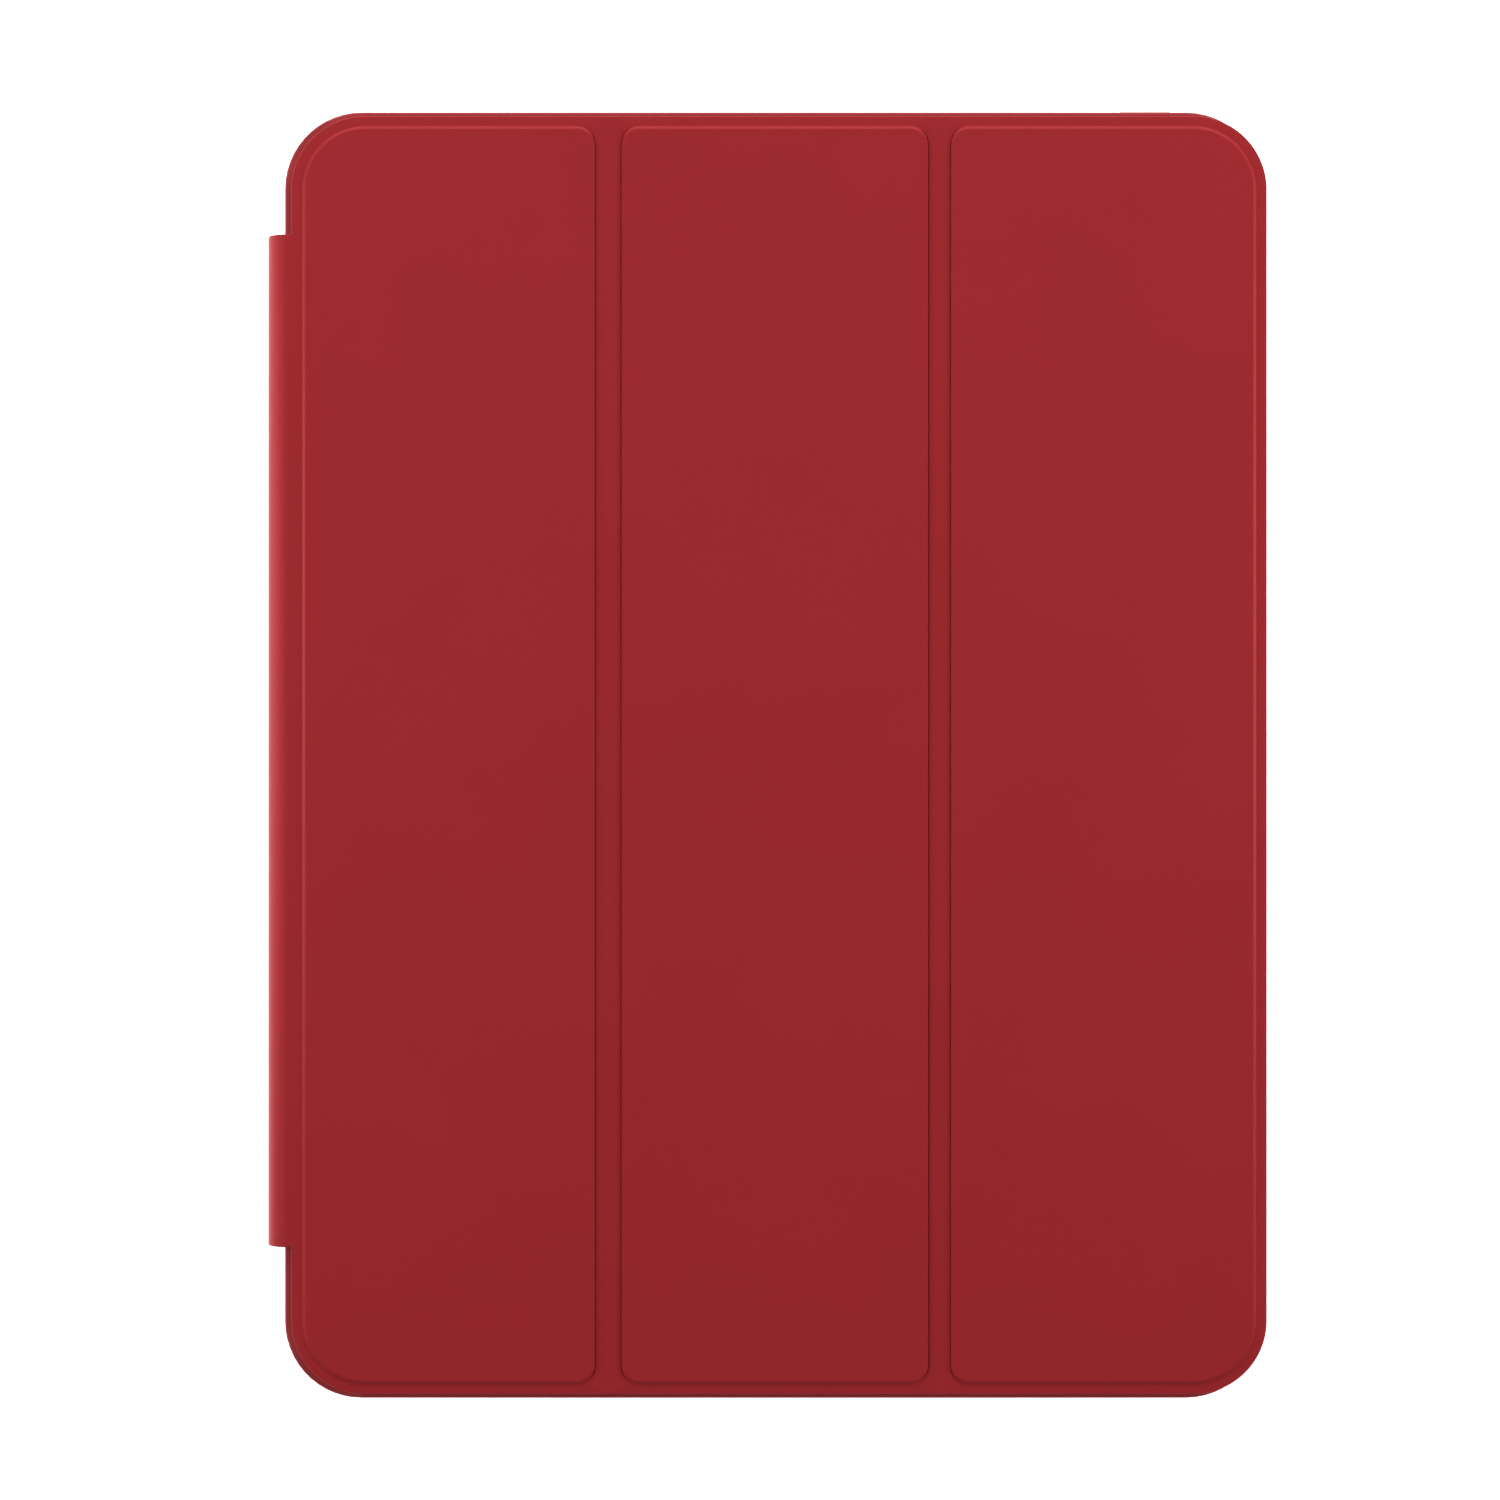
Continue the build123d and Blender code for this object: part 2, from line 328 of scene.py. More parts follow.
def new_material(name, colour, roughness, **shader):
    """Material with one principled shader; returns it with its tree, shader and object coordinates."""
    material = bpy.data.materials.new(name)
    material.use_nodes = True
    material.diffuse_color = colour
    tree = material.node_tree
    principled = tree.nodes["Principled BSDF"]
    principled.inputs["Base Color"].default_value = colour
    principled.inputs["Roughness"].default_value = roughness
    for socket, value in shader.items():
        principled.inputs[socket.replace("_", " ")].default_value = value
    places = add_node(tree, "ShaderNodeTexCoord").outputs["Object"]
    return material, tree, principled, places


def tone(tree, source, low, high, dark, light):
    """Mixes two colours by a pattern's value between two levels."""
    share = add_node(tree, "ShaderNodeMapRange", Value=source, From_Min=low, From_Max=high).outputs["Result"]
    mix = add_node(tree, "ShaderNodeMix", {"data_type": "RGBA"}, Factor=share)
    mix.inputs[6].default_value = dark
    mix.inputs[7].default_value = light
    return mix.outputs[2]


def scaled(colour, share):
    """A colour made darker or lighter."""
    return [channel * share for channel in colour[:3]] + [1.0]


def pu_leather(colour):
    """Smooth polyurethane leather, calendered on a fine-grained roller: soft broad sheen, hardly any pattern."""
    material, tree, shader, places = new_material(
        "Smooth PU leather", colour, 0.42, IOR=1.5, Specular_IOR_Level=0.3, Specular_Tint=(1.0, 0.1, 0.1, 1.0),
        Sheen_Weight=0.7, Sheen_Roughness=0.4, Sheen_Tint=(1.0, 0.08, 0.09, 1.0),
    )
    # Pebbles of 0.45 mm and broad unevenness of 30 mm; the true grain of 0.1 mm is too fine to show.
    pebbles = add_node(
        tree, "ShaderNodeTexVoronoi", {"feature": "SMOOTH_F1"}, Vector=places, Scale=1 / (0.45 * MM), Smoothness=0.8
    ).outputs["Distance"]
    cloud = add_node(tree, "ShaderNodeTexNoise", Vector=places, Scale=1 / (30 * MM), Detail=3.0).outputs["Fac"]
    pores = add_node(tree, "ShaderNodeTexNoise", Vector=places, Scale=1 / (0.9 * MM), Detail=4.0).outputs["Fac"]
    colours = tone(tree, cloud, 0.3, 0.7, scaled(colour, 0.985), scaled(colour, 1.015))
    tree.links.new(colours, shader.inputs["Base Color"])
    gloss = add_node(tree, "ShaderNodeMapRange", Value=pores, To_Min=0.38, To_Max=0.46)
    tree.links.new(gloss.outputs["Result"], shader.inputs["Roughness"])
    grain = add_node(tree, "ShaderNodeBump", Height=pebbles, Strength=0.12, Distance=0.03 * MM)
    swell = add_node(
        tree, "ShaderNodeBump", Height=pores, Strength=0.1, Distance=0.02 * MM, Normal=grain.outputs["Normal"]
    )
    tree.links.new(swell.outputs["Normal"], shader.inputs["Normal"])
    return material


def microfibre(colour):
    """Brushed microfibre suede: matte, with a soft sheen and faint streaks where the nap lies over."""
    material, tree, shader, places = new_material(
        "Brushed microfibre suede", colour, 0.95, IOR=1.45, Specular_IOR_Level=0.2, Sheen_Weight=0.3,
        Sheen_Roughness=0.6, Sheen_Tint=(1.0, 0.35, 0.35, 1.0),
    )
    # Nap tufts of 0.5 mm, and patches of 12 mm where the nap was stroked another way.
    nap = add_node(tree, "ShaderNodeTexNoise", Vector=places, Scale=1 / (0.5 * MM), Detail=6.0, Roughness=0.7)
    patches = add_node(tree, "ShaderNodeTexNoise", Vector=places, Scale=1 / (12 * MM), Detail=4.0, Distortion=0.8)
    height = add_node(
        tree, "ShaderNodeMath", {"operation": "MULTIPLY_ADD"}, input_0=patches.outputs["Fac"], input_1=0.6,
        input_2=nap.outputs["Fac"],
    ).outputs["Value"]
    colours = tone(tree, height, 0.5, 1.1, scaled(colour, 0.8), scaled(colour, 1.2))
    tree.links.new(colours, shader.inputs["Base Color"])
    bump = add_node(tree, "ShaderNodeBump", Height=nap.outputs["Fac"], Strength=0.5, Distance=0.12 * MM)
    tree.links.new(bump.outputs["Normal"], shader.inputs["Normal"])
    return material


def frosted_polycarbonate(colour):
    """Moulded polycarbonate with a fine spark-eroded texture: an even satin that scatters light a little."""
    material, tree, shader, places = new_material(
        "Frosted polycarbonate", colour, 0.42, IOR=1.585, Specular_IOR_Level=0.3, Specular_Tint=(1.0, 0.3, 0.3, 1.0)
    )
    # Spark pits of 0.35 mm; the true pits of 0.05 mm are too fine to show.
    pits = add_node(tree, "ShaderNodeTexNoise", Vector=places, Scale=1 / (0.35 * MM), Detail=3.0, Roughness=0.6)
    flow = add_node(tree, "ShaderNodeTexNoise", Vector=places, Scale=1 / (45 * MM), Detail=2.0)
    colours = tone(tree, flow.outputs["Fac"], 0.3, 0.7, scaled(colour, 0.98), scaled(colour, 1.02))
    tree.links.new(colours, shader.inputs["Base Color"])
    gloss = add_node(tree, "ShaderNodeMapRange", Value=pits.outputs["Fac"], To_Min=0.45, To_Max=0.55)
    tree.links.new(gloss.outputs["Result"], shader.inputs["Roughness"])
    bump = add_node(tree, "ShaderNodeBump", Height=pits.outputs["Fac"], Strength=0.15, Distance=0.03 * MM)
    tree.links.new(bump.outputs["Normal"], shader.inputs["Normal"])
    return material


def glass_filled_board(colour):
    """Stiffener board of glass-filled epoxy: dark, with short pale fibres lying every way."""
    material, tree, shader, places = new_material("Glass-filled board", colour, 0.7, IOR=1.55)
    # Chopped strands about 2 mm long and 0.3 mm wide, stretched one way by the mapping.
    laid = add_node(tree, "ShaderNodeMapping", Vector=places, Scale=(1 / (2 * MM), 1 / (0.3 * MM), 1.0))
    strands = add_node(tree, "ShaderNodeTexNoise", Vector=laid.outputs["Vector"], Scale=1.0, Detail=2.0)
    colours = tone(tree, strands.outputs["Fac"], 0.45, 0.7, scaled(colour, 0.8), scaled(colour, 1.7))
    tree.links.new(colours, shader.inputs["Base Color"])
    return material


def nickel_plate(colour):
    """Nickel-plated neodymium: a warm grey metal with fine tumbling marks."""
    material, tree, shader, places = new_material("Nickel plating", colour, 0.3, Metallic=1.0)
    # Tumbling marks of 0.8 mm.
    marks = add_node(tree, "ShaderNodeTexNoise", Vector=places, Scale=1 / (0.8 * MM), Detail=5.0)
    gloss = add_node(tree, "ShaderNodeMapRange", Value=marks.outputs["Fac"], To_Min=0.2, To_Max=0.42)
    tree.links.new(gloss.outputs["Result"], shader.inputs["Roughness"])
    return material


def light_table(colour):
    """Opal acrylic light table: matte white, glowing enough that no shadow shows on it."""
    material, tree, shader, places = new_material(
        "Opal light table", colour, 0.95, Emission_Color=(1.0, 1.0, 1.0, 1.0), Emission_Strength=0.9
    )
    # Faint clouding of the sheet, 40 mm.
    cloud = add_node(tree, "ShaderNodeTexNoise", Vector=places, Scale=1 / (40 * MM), Detail=2.0)
    colours = tone(tree, cloud.outputs["Fac"], 0.3, 0.7, scaled(colour, 0.99), colour)
    tree.links.new(colours, shader.inputs["Base Color"])
    return material


def finish_for(name, make, colour):
    """The named material, made once."""
    return bpy.data.materials.get(name) or make(linear(colour))


# ---------------------------------------------------------------- cover skin
# Steps of a pad's edge from its foot up to its flat top: width and rise as shares of the whole slope.
PAD_STEPS = (
    (0.14, 0.03), (0.12, 0.11), (0.14, 0.22), (0.14, 0.26), (0.14, 0.20), (0.14, 0.12), (0.18, 0.06), (0.30, 0.0),
)
PAD_SLOPE = 1.0 * MM  # width of the whole slope, centred on the pad's outline
HALF_SLOPE = PAD_SLOPE / 2
SLACK = 0.01 * PAD_SLOPE
HEM_STEP = 0.1 * MM  # over which the turned-in hem thins out
ARC_STEPS = 32  # in each corner
GROOVE_ROWS = 20  # cuts across each groove, so that it can bend
SPINE_STEPS = 60
FLAP_ROW = 1.2 * MM  # from the spine's centre to the first row under the shell
FLAP_HEM = 2.2 * MM  # outwards of the spine's centre, where the hem starts low on the spine
RECESS_REACH = 2.5 * MM  # outwards of the spine's centre, where the shell's recess starts
RECESS_SHARE = 0.45  # of the spine's radius: how high the recess reaches


def pad_sheet(name, layout, sizes):
    """One panel's top surface: a raised pad in its margin, squared off towards the grooves."""
    left, right = layout.pads[name]
    margin = layout.pad_low - layout.low
    piece = add_plane(
        f"{name}_sheet", (left - margin, right + margin), (layout.low, layout.high), layout.margin_top
    )
    middle_x = (left + right) / 2
    for side, outer in ((-1, name == "panel_1"), (1, name == "panel_3")):
        radius = sizes.pad_corner if outer else sizes.groove_corner
        pick(
            piece, "VERT",
            lambda p: (p.x - middle_x) * side > 0 and min(p.y - layout.low, layout.high - p.y) < TOUCHING,
        )
        bpy.ops.mesh.bevel(offset=radius + margin, segments=ARC_STEPS, affect="VERTICES")
    bpy.ops.mesh.select_mode(type="FACE")
    bpy.ops.mesh.select_all(action="SELECT")
    for width in (margin - HALF_SLOPE - HEM_STEP, HEM_STEP):
        bpy.ops.mesh.inset(thickness=width)
    for width, rise in PAD_STEPS:
        bpy.ops.mesh.inset(thickness=width * PAD_SLOPE, depth=rise * sizes.pad_height)
    steepen_groove_sides(piece, name, layout, sizes)
    square_groove_sides(piece, name, layout, sizes, margin)
    bpy.ops.object.mode_set(mode="OBJECT")
    return piece


def steepen_groove_sides(piece, name, layout, sizes):
    """Makes the pad's slope narrower beside a groove, turning smoothly to the full width round each corner."""
    left, right = layout.pads[name]
    radius = sizes.groove_corner
    mesh = bmesh.from_edit_mesh(piece.data)
    for side, edge in ((-1, left), (1, right)):
        if (side < 0 and name == "panel_1") or (side > 0 and name == "panel_3"):
            continue
        centre_x = edge - side * radius
        for vertex in mesh.verts:
            across = (vertex.co.x - centre_x) * side
            if across <= 0:
                continue
            end_y = layout.pad_high - radius if vertex.co.y > layout.middle_y else layout.pad_low + radius
            beyond = vertex.co.y - end_y if vertex.co.y > layout.middle_y else end_y - vertex.co.y
            reach = math.hypot(across, max(beyond, 0))
            depth = radius - reach
            if abs(depth) < HALF_SLOPE + SLACK:
                facing = across / reach
                share = 1 - (1 - sizes.groove_share) * facing**2
                scale = (radius - depth * share) / reach
                vertex.co.x = centre_x + side * across * scale
                if beyond > 0:
                    vertex.co.y = end_y + (vertex.co.y - end_y) * scale
                if depth < SLACK - HALF_SLOPE:
                    vertex.co.z -= sizes.crease * facing**2
    bmesh.update_edit_mesh(piece.data)


def square_groove_sides(piece, name, layout, sizes, margin):
    """Moves the margin's loops onto the cover's edges: square at a groove, round at the cover's corners."""
    left, right = layout.pads[name]
    edges = layout.panel_edges[name]
    mesh = bmesh.from_edit_mesh(piece.data)
    for side, pad_edge, edge in ((-1, left, edges[0]), (1, right, edges[1])):
        outer = (side < 0 and name == "panel_1") or (side > 0 and name == "panel_3")
        radius = sizes.pad_corner if outer else sizes.groove_corner
        centre_x = pad_edge - side * radius
        for vertex in mesh.verts:
            across = (vertex.co.x - centre_x) * side
            upper = vertex.co.y > layout.middle_y
            end_y = layout.pad_high - radius if upper else layout.pad_low + radius
            beyond = max(vertex.co.y - end_y if upper else end_y - vertex.co.y, 0)
            out = math.hypot(max(across, 0), beyond) - radius
            if across <= 0 or out < HALF_SLOPE + SLACK:
                continue
            share = out / margin
            if outer:
                vertex.co.x += side * (abs(edge - pad_edge) - margin) * share
                continue
            reach = radius + out
            longest = max(across, beyond)
            round_part = 1 - share
            across_now = across * (round_part + share * reach / longest)
            beyond_now = beyond * (round_part + share * reach / longest)
            across_now *= (radius + share * abs(edge - pad_edge)) / reach
            vertex.co.x = centre_x + side * across_now
            if beyond > 0:
                vertex.co.y = end_y + (1 if upper else -1) * beyond_now
    bmesh.update_edit_mesh(piece.data)


def join_panels(pieces, layout, sizes):
    """Joins the panels, bridges the two grooves with strips that can bend, and runs the hem across them."""
    bpy.ops.object.select_all(action="DESELECT")
    for piece in pieces:
        piece.select_set(True)
    bpy.context.view_layer.objects.active = pieces[0]
    bpy.ops.object.join()
    skin = bpy.context.object
    bpy.ops.object.mode_set(mode="EDIT")
    for low, high in layout.strips:
        pick(skin, "EDGE", lambda p, low=low, high=high: min(abs(p.x - low), abs(p.x - high)) < TOUCHING)
        bpy.ops.mesh.bridge_edge_loops(number_cuts=GROOVE_ROWS, interpolation="LINEAR")
        hem = layout.pad_low - layout.low - HALF_SLOPE
        rows = [layout.low + reach for reach in (hem - HEM_STEP, hem)]
        rows += [layout.high - reach for reach in (hem, hem - HEM_STEP)]
        reach = sizes.groove_corner + hem
        cut_lines(skin, rows, 1, lambda p, low=low - reach, high=high + reach: low < p.x < high)
    bpy.ops.object.mode_set(mode="OBJECT")
    return skin


def wrap_spine(skin, layout, sizes):
    """Draws the skin out of the cover's left edge, round the spine, and flat under the shell."""
    use(skin)
    bpy.ops.object.mode_set(mode="EDIT")
    pad_left = layout.pads["panel_1"][0]
    hem = sizes.hem
    step = hem - HEM_STEP
    rows = [layout.spine_low + reach for reach in (0, step, hem)]
    rows += [layout.spine_high - reach for reach in (hem, step, 0)]
    cut_lines(skin, rows, 1, lambda p: p.x < pad_left)
    pick(
        skin, "EDGE",
        lambda p: abs(p.x - layout.left) < TOUCHING and layout.spine_low < p.y < layout.spine_high,
    )
    bpy.ops.mesh.extrude_edges_move(TRANSFORM_OT_translate={"value": (layout.spine_x - layout.left, 0, 0)})
    bpy.ops.mesh.spin(
        steps=SPINE_STEPS, angle=math.pi, center=(layout.spine_x, 0, layout.spine_radius), axis=(0, 1, 0)
    )
    for end in (layout.spine_x + FLAP_ROW, layout.strip_end):
        start = max(v.co.x for v in bmesh.from_edit_mesh(skin.data).verts if v.select)
        bpy.ops.mesh.extrude_edges_move(TRANSFORM_OT_translate={"value": (end - start, 0, 0)})
    bpy.ops.mesh.select_all(action="SELECT")
    bpy.ops.mesh.remove_doubles(threshold=WELD)
    bpy.ops.object.mode_set(mode="OBJECT")


def hem_weights(skin, layout, sizes):
    """Marks where the skin is turned in and so is as thick as the whole cover."""
    group = skin.vertex_groups.new(name="hem")
    full = layout.margin_top - layout.under
    thin, spine = sizes.skin_thickness / full, sizes.strip_thickness / full
    width = layout.pad_low - layout.low - HALF_SLOPE - 0.5 * HEM_STEP
    step = sizes.hem - 0.5 * HEM_STEP
    for vertex in skin.data.vertices:
        x, y, z = vertex.co
        share = 0.0
        across_spine = layout.spine_low + step < y < layout.spine_high - step
        if z > layout.lining_top and x >= layout.left - TOUCHING / 2:
            inside = layout.inside_outline(x, y, sizes.cover_corner)
            if inside <= width and not (across_spine and x < layout.left + sizes.hem * 2):
                share = 1.0
        else:
            share = (spine - thin) / (1 - thin)
            ends = not across_spine and (z > layout.spine_radius or x < layout.spine_x - FLAP_HEM)
            if ends:
                share = 1.0
        group.add([vertex.index], share, "REPLACE")
    return full, thin


def round_hem(skin, layout, sizes):
    """Rounds the rim of the thickened skin, except under the shell where it lies in its recess."""
    use(skin)
    bpy.ops.object.mode_set(mode="EDIT")
    bpy.ops.mesh.select_mode(type="FACE")
    bpy.ops.mesh.select_all(action="DESELECT")
    mesh = bmesh.from_edit_mesh(skin.data)
    low_z, strip_x = layout.spine_radius * RECESS_SHARE, layout.spine_x - RECESS_REACH
    for face in mesh.faces:
        middle = face.calc_center_median()
        face.select_set(face.material_index == 1 and not (middle.z < low_z and middle.x > strip_x))
    mesh.select_flush_mode()
    bmesh.update_edit_mesh(skin.data)
    bpy.ops.mesh.region_to_loop()
    bpy.ops.mesh.bevel(offset=sizes.hem_round, segments=4, affect="EDGES", clamp_overlap=False)
    bpy.ops.object.mode_set(mode="OBJECT")
    for face in skin.data.polygons:
        face.material_index = 0


def divide(sheet, layout, word, material):
    """Cuts a continuous sheet where it lies on one stiff piece, so that each part reaches across one joint only."""
    parts = {
        "spine_base": ({"high": layout.seam_z, "axis": 2}, ("back_strip", "spine_base_hinge")),
        "spine_top": ({"high": layout.cuts[0]}, ("spine", "spine_top_hinge", "panel_1")),
        "fold_1": ({"low": layout.cuts[0], "high": layout.cuts[1]}, ("fold_1",)),
        "fold_2": ({"low": layout.cuts[1]}, ("fold_2", "panel_2", "panel_3")),
    }
    upper = keep_between(sheet, "upper", low=layout.seam_z, axis=2)
    for key, (limits, stands_for) in parts.items():
        source = sheet if key == "spine_base" else upper
        piece = keep_between(source, f"{word}_{key}", **limits)
        shade(piece, 35)
        if word == "lining":
            apply_modifier(piece, "WEIGHTED_NORMAL", weight=100, keep_sharp=True)
        nodes = [f"{node}_{word}" for node in stands_for if f"{node}_{word}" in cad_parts]
        finish_piece(piece, material, nodes)
        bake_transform(piece)
    for spare in (sheet, upper):
        bpy.data.objects.remove(spare)


class FOLIO_OT_cover_skin(bpy.types.Operator):
    """Model the leather-look skin: three raised pads, two grooves, the turned hem and the rounded spine"""

    bl_idname = "folio.cover_skin"
    bl_label = "Cover Skin"

    def execute(self, context):
        sizes = context.scene.folio_sizes
        layout = Layout(sizes)
        skin = join_panels([pad_sheet(name, layout, sizes) for name in PANELS], layout, sizes)
        wrap_spine(skin, layout, sizes)
        face_up(skin)
        full, thin = hem_weights(skin, layout, sizes)
        skin.data.materials.append(None)
        skin.data.materials.append(None)
        apply_modifier(
            skin, "SOLIDIFY", thickness=full, offset=-1.0, vertex_group="hem", thickness_vertex_group=thin,
            material_offset_rim=1, use_even_offset=False,
        )
        round_hem(skin, layout, sizes)
        material = finish_for("Smooth PU leather", pu_leather, context.scene.folio_colours.leather)
        divide(skin, layout, "skin", material)
        return {"FINISHED"}


# ---------------------------------------------------------------- lining
LINING_STEPS, LINING_TURN = 56, 160  # round the inside of the spine; the turn is in degrees
LINING_ROUND = 0.1 * MM


class FOLIO_OT_lining(bpy.types.Operator):
    """Model the microfibre lining inside the cover and round the inside of the spine"""

    bl_idname = "folio.lining"
    bl_label = "Lining"

    def execute(self, context):
        sizes = context.scene.folio_sizes
        layout = Layout(sizes)
        inset = layout.pad_low - layout.low - HALF_SLOPE + sizes.lining_gap
        piece = add_plane(
            "lining", (layout.left + inset, layout.right - inset), (layout.low + inset, layout.high - inset),
            layout.under,
        )
        bpy.ops.mesh.select_all(action="SELECT")
        bpy.ops.mesh.bevel(offset=sizes.cover_corner - inset, segments=ARC_STEPS, affect="VERTICES")
        places = [x for strip in layout.strips for x in (strip[0], *even(*strip, GROOVE_ROWS + 1), strip[1])]
        cut_lines(piece, places, 0)
        ends = (layout.spine_low + sizes.hem + sizes.lining_gap, layout.spine_high - sizes.hem - sizes.lining_gap)
        cut_lines(piece, ends, 1, lambda p: p.x < layout.strips[0][0])
        pick(piece, "EDGE", lambda p: abs(p.x - layout.left - inset) < TOUCHING and ends[0] < p.y < ends[1])
        bpy.ops.mesh.extrude_edges_move(TRANSFORM_OT_translate={"value": (layout.spine_x - layout.left - inset, 0, 0)})
        bpy.ops.mesh.spin(
            steps=LINING_STEPS, angle=math.radians(LINING_TURN), axis=(0, 1, 0),
            center=(layout.spine_x, 0, layout.spine_radius),
        )
        bpy.ops.mesh.select_all(action="SELECT")
        bpy.ops.mesh.remove_doubles(threshold=WELD)
        bpy.ops.object.mode_set(mode="OBJECT")
        face_up(piece)
        thickness = layout.lining_top - layout.under
        apply_modifier(piece, "SOLIDIFY", thickness=thickness, offset=1.0, use_even_offset=False)
        apply_modifier(
            piece, "BEVEL", width=LINING_ROUND, segments=2, limit_method="ANGLE", angle_limit=math.radians(60)
        )
        material = finish_for("Brushed microfibre suede", microfibre, context.scene.folio_colours.lining)
        divide(piece, layout, "lining", material)
        return {"FINISHED"}


# ---------------------------------------------------------------- shell and button
def smooth_copy(node, name, degrees):
    """Copy of a CAD node as one welded, smoothly shaded mesh."""
    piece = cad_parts[node].copy()
    piece.data = piece.data.copy()
    piece.name = piece.data.name = name
    piece.parent = None
    for key in list(piece.keys()):
        del piece[key]
    bpy.context.collection.objects.link(piece)
    use(piece)
    bpy.ops.object.mode_set(mode="EDIT")
    bpy.ops.mesh.select_all(action="SELECT")
    bpy.ops.mesh.remove_doubles(threshold=0.001 * MM)
    bpy.ops.object.mode_set(mode="OBJECT")
    shade(piece, degrees)
    apply_modifier(piece, "WEIGHTED_NORMAL", weight=100, keep_sharp=True)
    return piece


class FOLIO_OT_shell(bpy.types.Operator):
    """Weld and finish the moulded back shell and its power button"""

    bl_idname = "folio.shell"
    bl_label = "Back Shell"

    def execute(self, context):
        material = finish_for(
            "Frosted polycarbonate", frosted_polycarbonate, context.scene.folio_colours.shell
        )
        for node, name, body in (("back_shell", "shell", "back_case"), ("power_button", "power_key", "power_button")):
            piece = smooth_copy(node, name, 30)
            finish_piece(piece, material, [node])
            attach(piece, body)
        return {"FINISHED"}


class FOLIO_OT_inner_parts(bpy.types.Operator):
    """Finish the boards and magnets inside the cover"""

    bl_idname = "folio.inner_parts"
    bl_label = "Boards and Magnets"

    def execute(self, context):
        colours = context.scene.folio_colours
        board = finish_for("Glass-filled board", glass_filled_board, colours.board)
        nickel = finish_for("Nickel plating", nickel_plate, colours.nickel)
        for name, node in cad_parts.items():
            if name.endswith(("_board", "_magnets", "_magnet")):
                node.data.materials.clear()
                node.data.materials.append(board if name.endswith("_board") else nickel)
        return {"FINISHED"}


# ---------------------------------------------------------------- stage
FLOOR_REACH = 6.0
# Soft boxes: name, the setting that holds its power, and size and place in metres.
SOFT_BOXES = (
    ("left_strip", "side_light", (0.3, 1.2), (-0.75, 0.06, 0.27)),
    ("right_strip", "side_light", (0.3, 1.2), (0.75, 0.06, 0.27)),
    ("head_strip", "head_light", (1.2, 0.3), (0, 0.9, 0.36)),
)


def soft_box(name, power, size, place, aim):
    """Rectangular area light at a place, facing a point."""
    bpy.ops.object.select_all(action="DESELECT")
    bpy.ops.object.light_add(type="AREA", location=place)
    light = bpy.context.object
    light.name = name
    light.data.shape = "RECTANGLE"
    light.data.size, light.data.size_y = size
    light.data.energy = power
    light.rotation_euler = (Vector(aim) - Vector(place)).to_track_quat("-Z", "Y").to_euler()
    return light


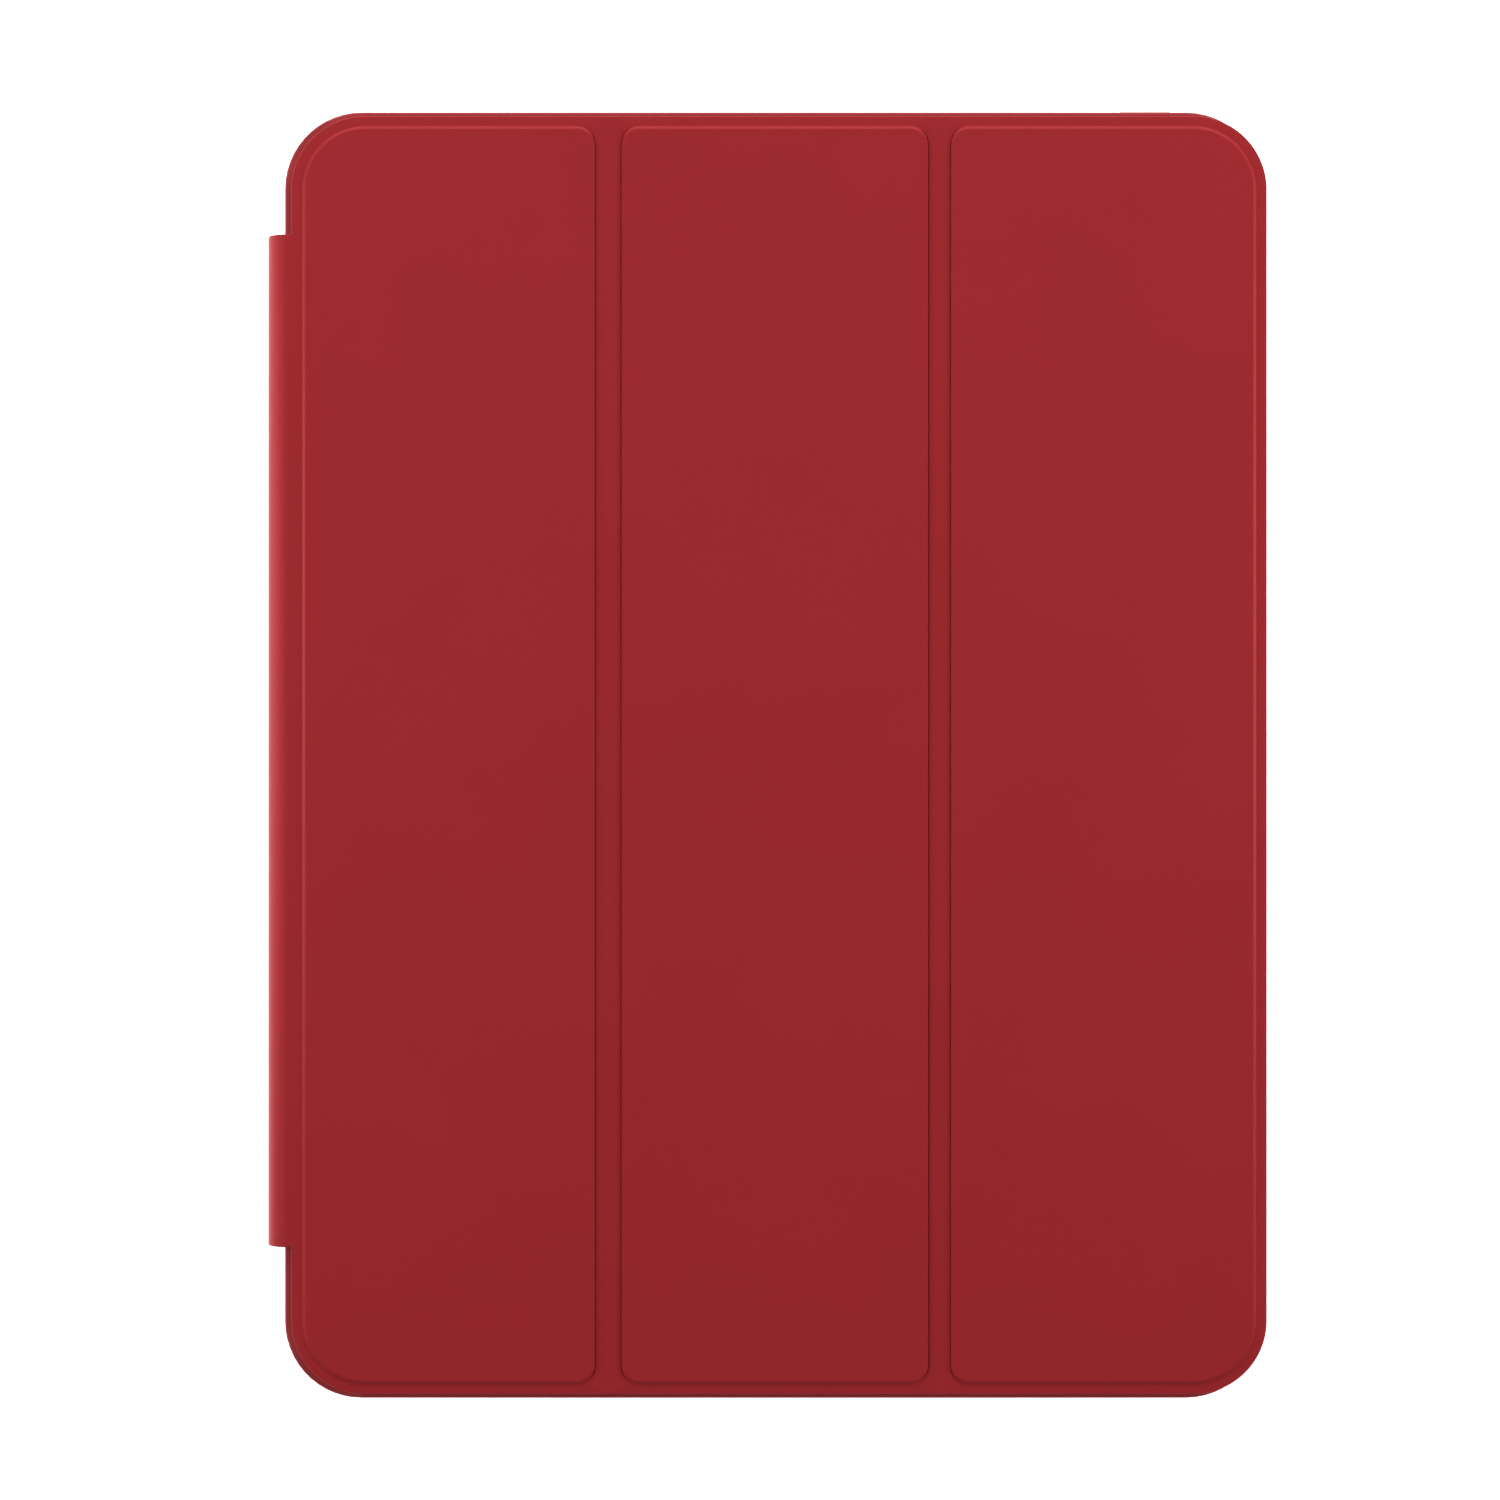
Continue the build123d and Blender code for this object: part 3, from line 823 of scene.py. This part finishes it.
class FOLIO_OT_stage(bpy.types.Operator):
    """Add the studio floor, the soft boxes and the camera straight above the case"""

    bl_idname = "folio.stage"
    bl_label = "Stage"

    def execute(self, context):
        stage = context.scene.folio_stage
        floor = add_plane("studio_floor", (-FLOOR_REACH, FLOOR_REACH), (-FLOOR_REACH, FLOOR_REACH), -stage.floor_drop)
        bpy.ops.object.mode_set(mode="OBJECT")
        floor.data.materials.append(
            finish_for("Opal light table", light_table, context.scene.folio_colours.floor)
        )
        centre = (stage.aim_x, stage.aim_y, 0)
        for name, power, size, place in SOFT_BOXES:
            soft_box(name, getattr(stage, power), size, place, centre)
        self.add_world(context, stage)
        self.add_camera(context, stage)
        context.scene.view_settings.view_transform = "Standard"
        return {"FINISHED"}

    def add_world(self, context, stage):
        world = bpy.data.worlds.new("studio_air")
        world.use_nodes = True
        tree = world.node_tree
        air = tree.nodes["Background"]
        air.inputs["Color"].default_value = (1.0, 1.0, 1.0, 1.0)
        air.inputs["Strength"].default_value = stage.fill
        backdrop = add_node(tree, "ShaderNodeBackground", Color=(1.0, 1.0, 1.0, 1.0), Strength=1.0)
        seen = add_node(tree, "ShaderNodeLightPath").outputs["Is Camera Ray"]
        mix = add_node(
            tree, "ShaderNodeMixShader", input_0=seen, input_1=air.outputs["Background"],
            input_2=backdrop.outputs["Background"],
        )
        tree.links.new(mix.outputs["Shader"], tree.nodes["World Output"].inputs["Surface"])
        context.scene.world = world

    def add_camera(self, context, stage):
        height = cad_high.z + stage.camera_distance
        bpy.ops.object.camera_add(location=(stage.aim_x, stage.aim_y, height), rotation=(0, 0, 0))
        camera = bpy.context.object
        camera.name = "studio_camera"
        camera.data.sensor_width = 36.0
        camera.data.lens = camera.data.sensor_width * stage.camera_distance / stage.field_width
        camera.data.clip_start, camera.data.clip_end = 0.01, 20.0
        context.scene.camera = camera


class FOLIO_PT_panel(bpy.types.Panel):
    """Sidebar panel with the case's pieces and settings"""

    bl_idname = "FOLIO_PT_panel"
    bl_label = "Folio Case"
    bl_space_type = "VIEW_3D"
    bl_region_type = "UI"
    bl_category = "Folio Case"

    def draw(self, context):
        for operator in OPERATORS:
            self.layout.operator(operator.bl_idname)
        for group in (context.scene.folio_sizes, context.scene.folio_colours, context.scene.folio_stage):
            box = self.layout.box()
            for name in group.__annotations__:
                box.prop(group, name)


OPERATORS = (
    FOLIO_OT_cover_skin,
    FOLIO_OT_lining,
    FOLIO_OT_shell,
    FOLIO_OT_inner_parts,
    FOLIO_OT_stage,
)
GROUPS = {"folio_sizes": FolioSizes, "folio_colours": FolioColours, "folio_stage": FolioStage}


def register():
    for group in (*GROUPS.values(), *OPERATORS, FOLIO_PT_panel):
        bpy.utils.register_class(group)
    for name, group in GROUPS.items():
        setattr(bpy.types.Scene, name, bpy.props.PointerProperty(type=group))


def unregister():
    for name in GROUPS:
        delattr(bpy.types.Scene, name)
    for group in reversed((*GROUPS.values(), *OPERATORS, FOLIO_PT_panel)):
        bpy.utils.unregister_class(group)


def main():
    register()
    bpy.ops.folio.cover_skin()
    bpy.ops.folio.lining()
    bpy.ops.folio.shell()
    bpy.ops.folio.inner_parts()
    bpy.ops.folio.stage()


if __name__ == "__main__":
    main()
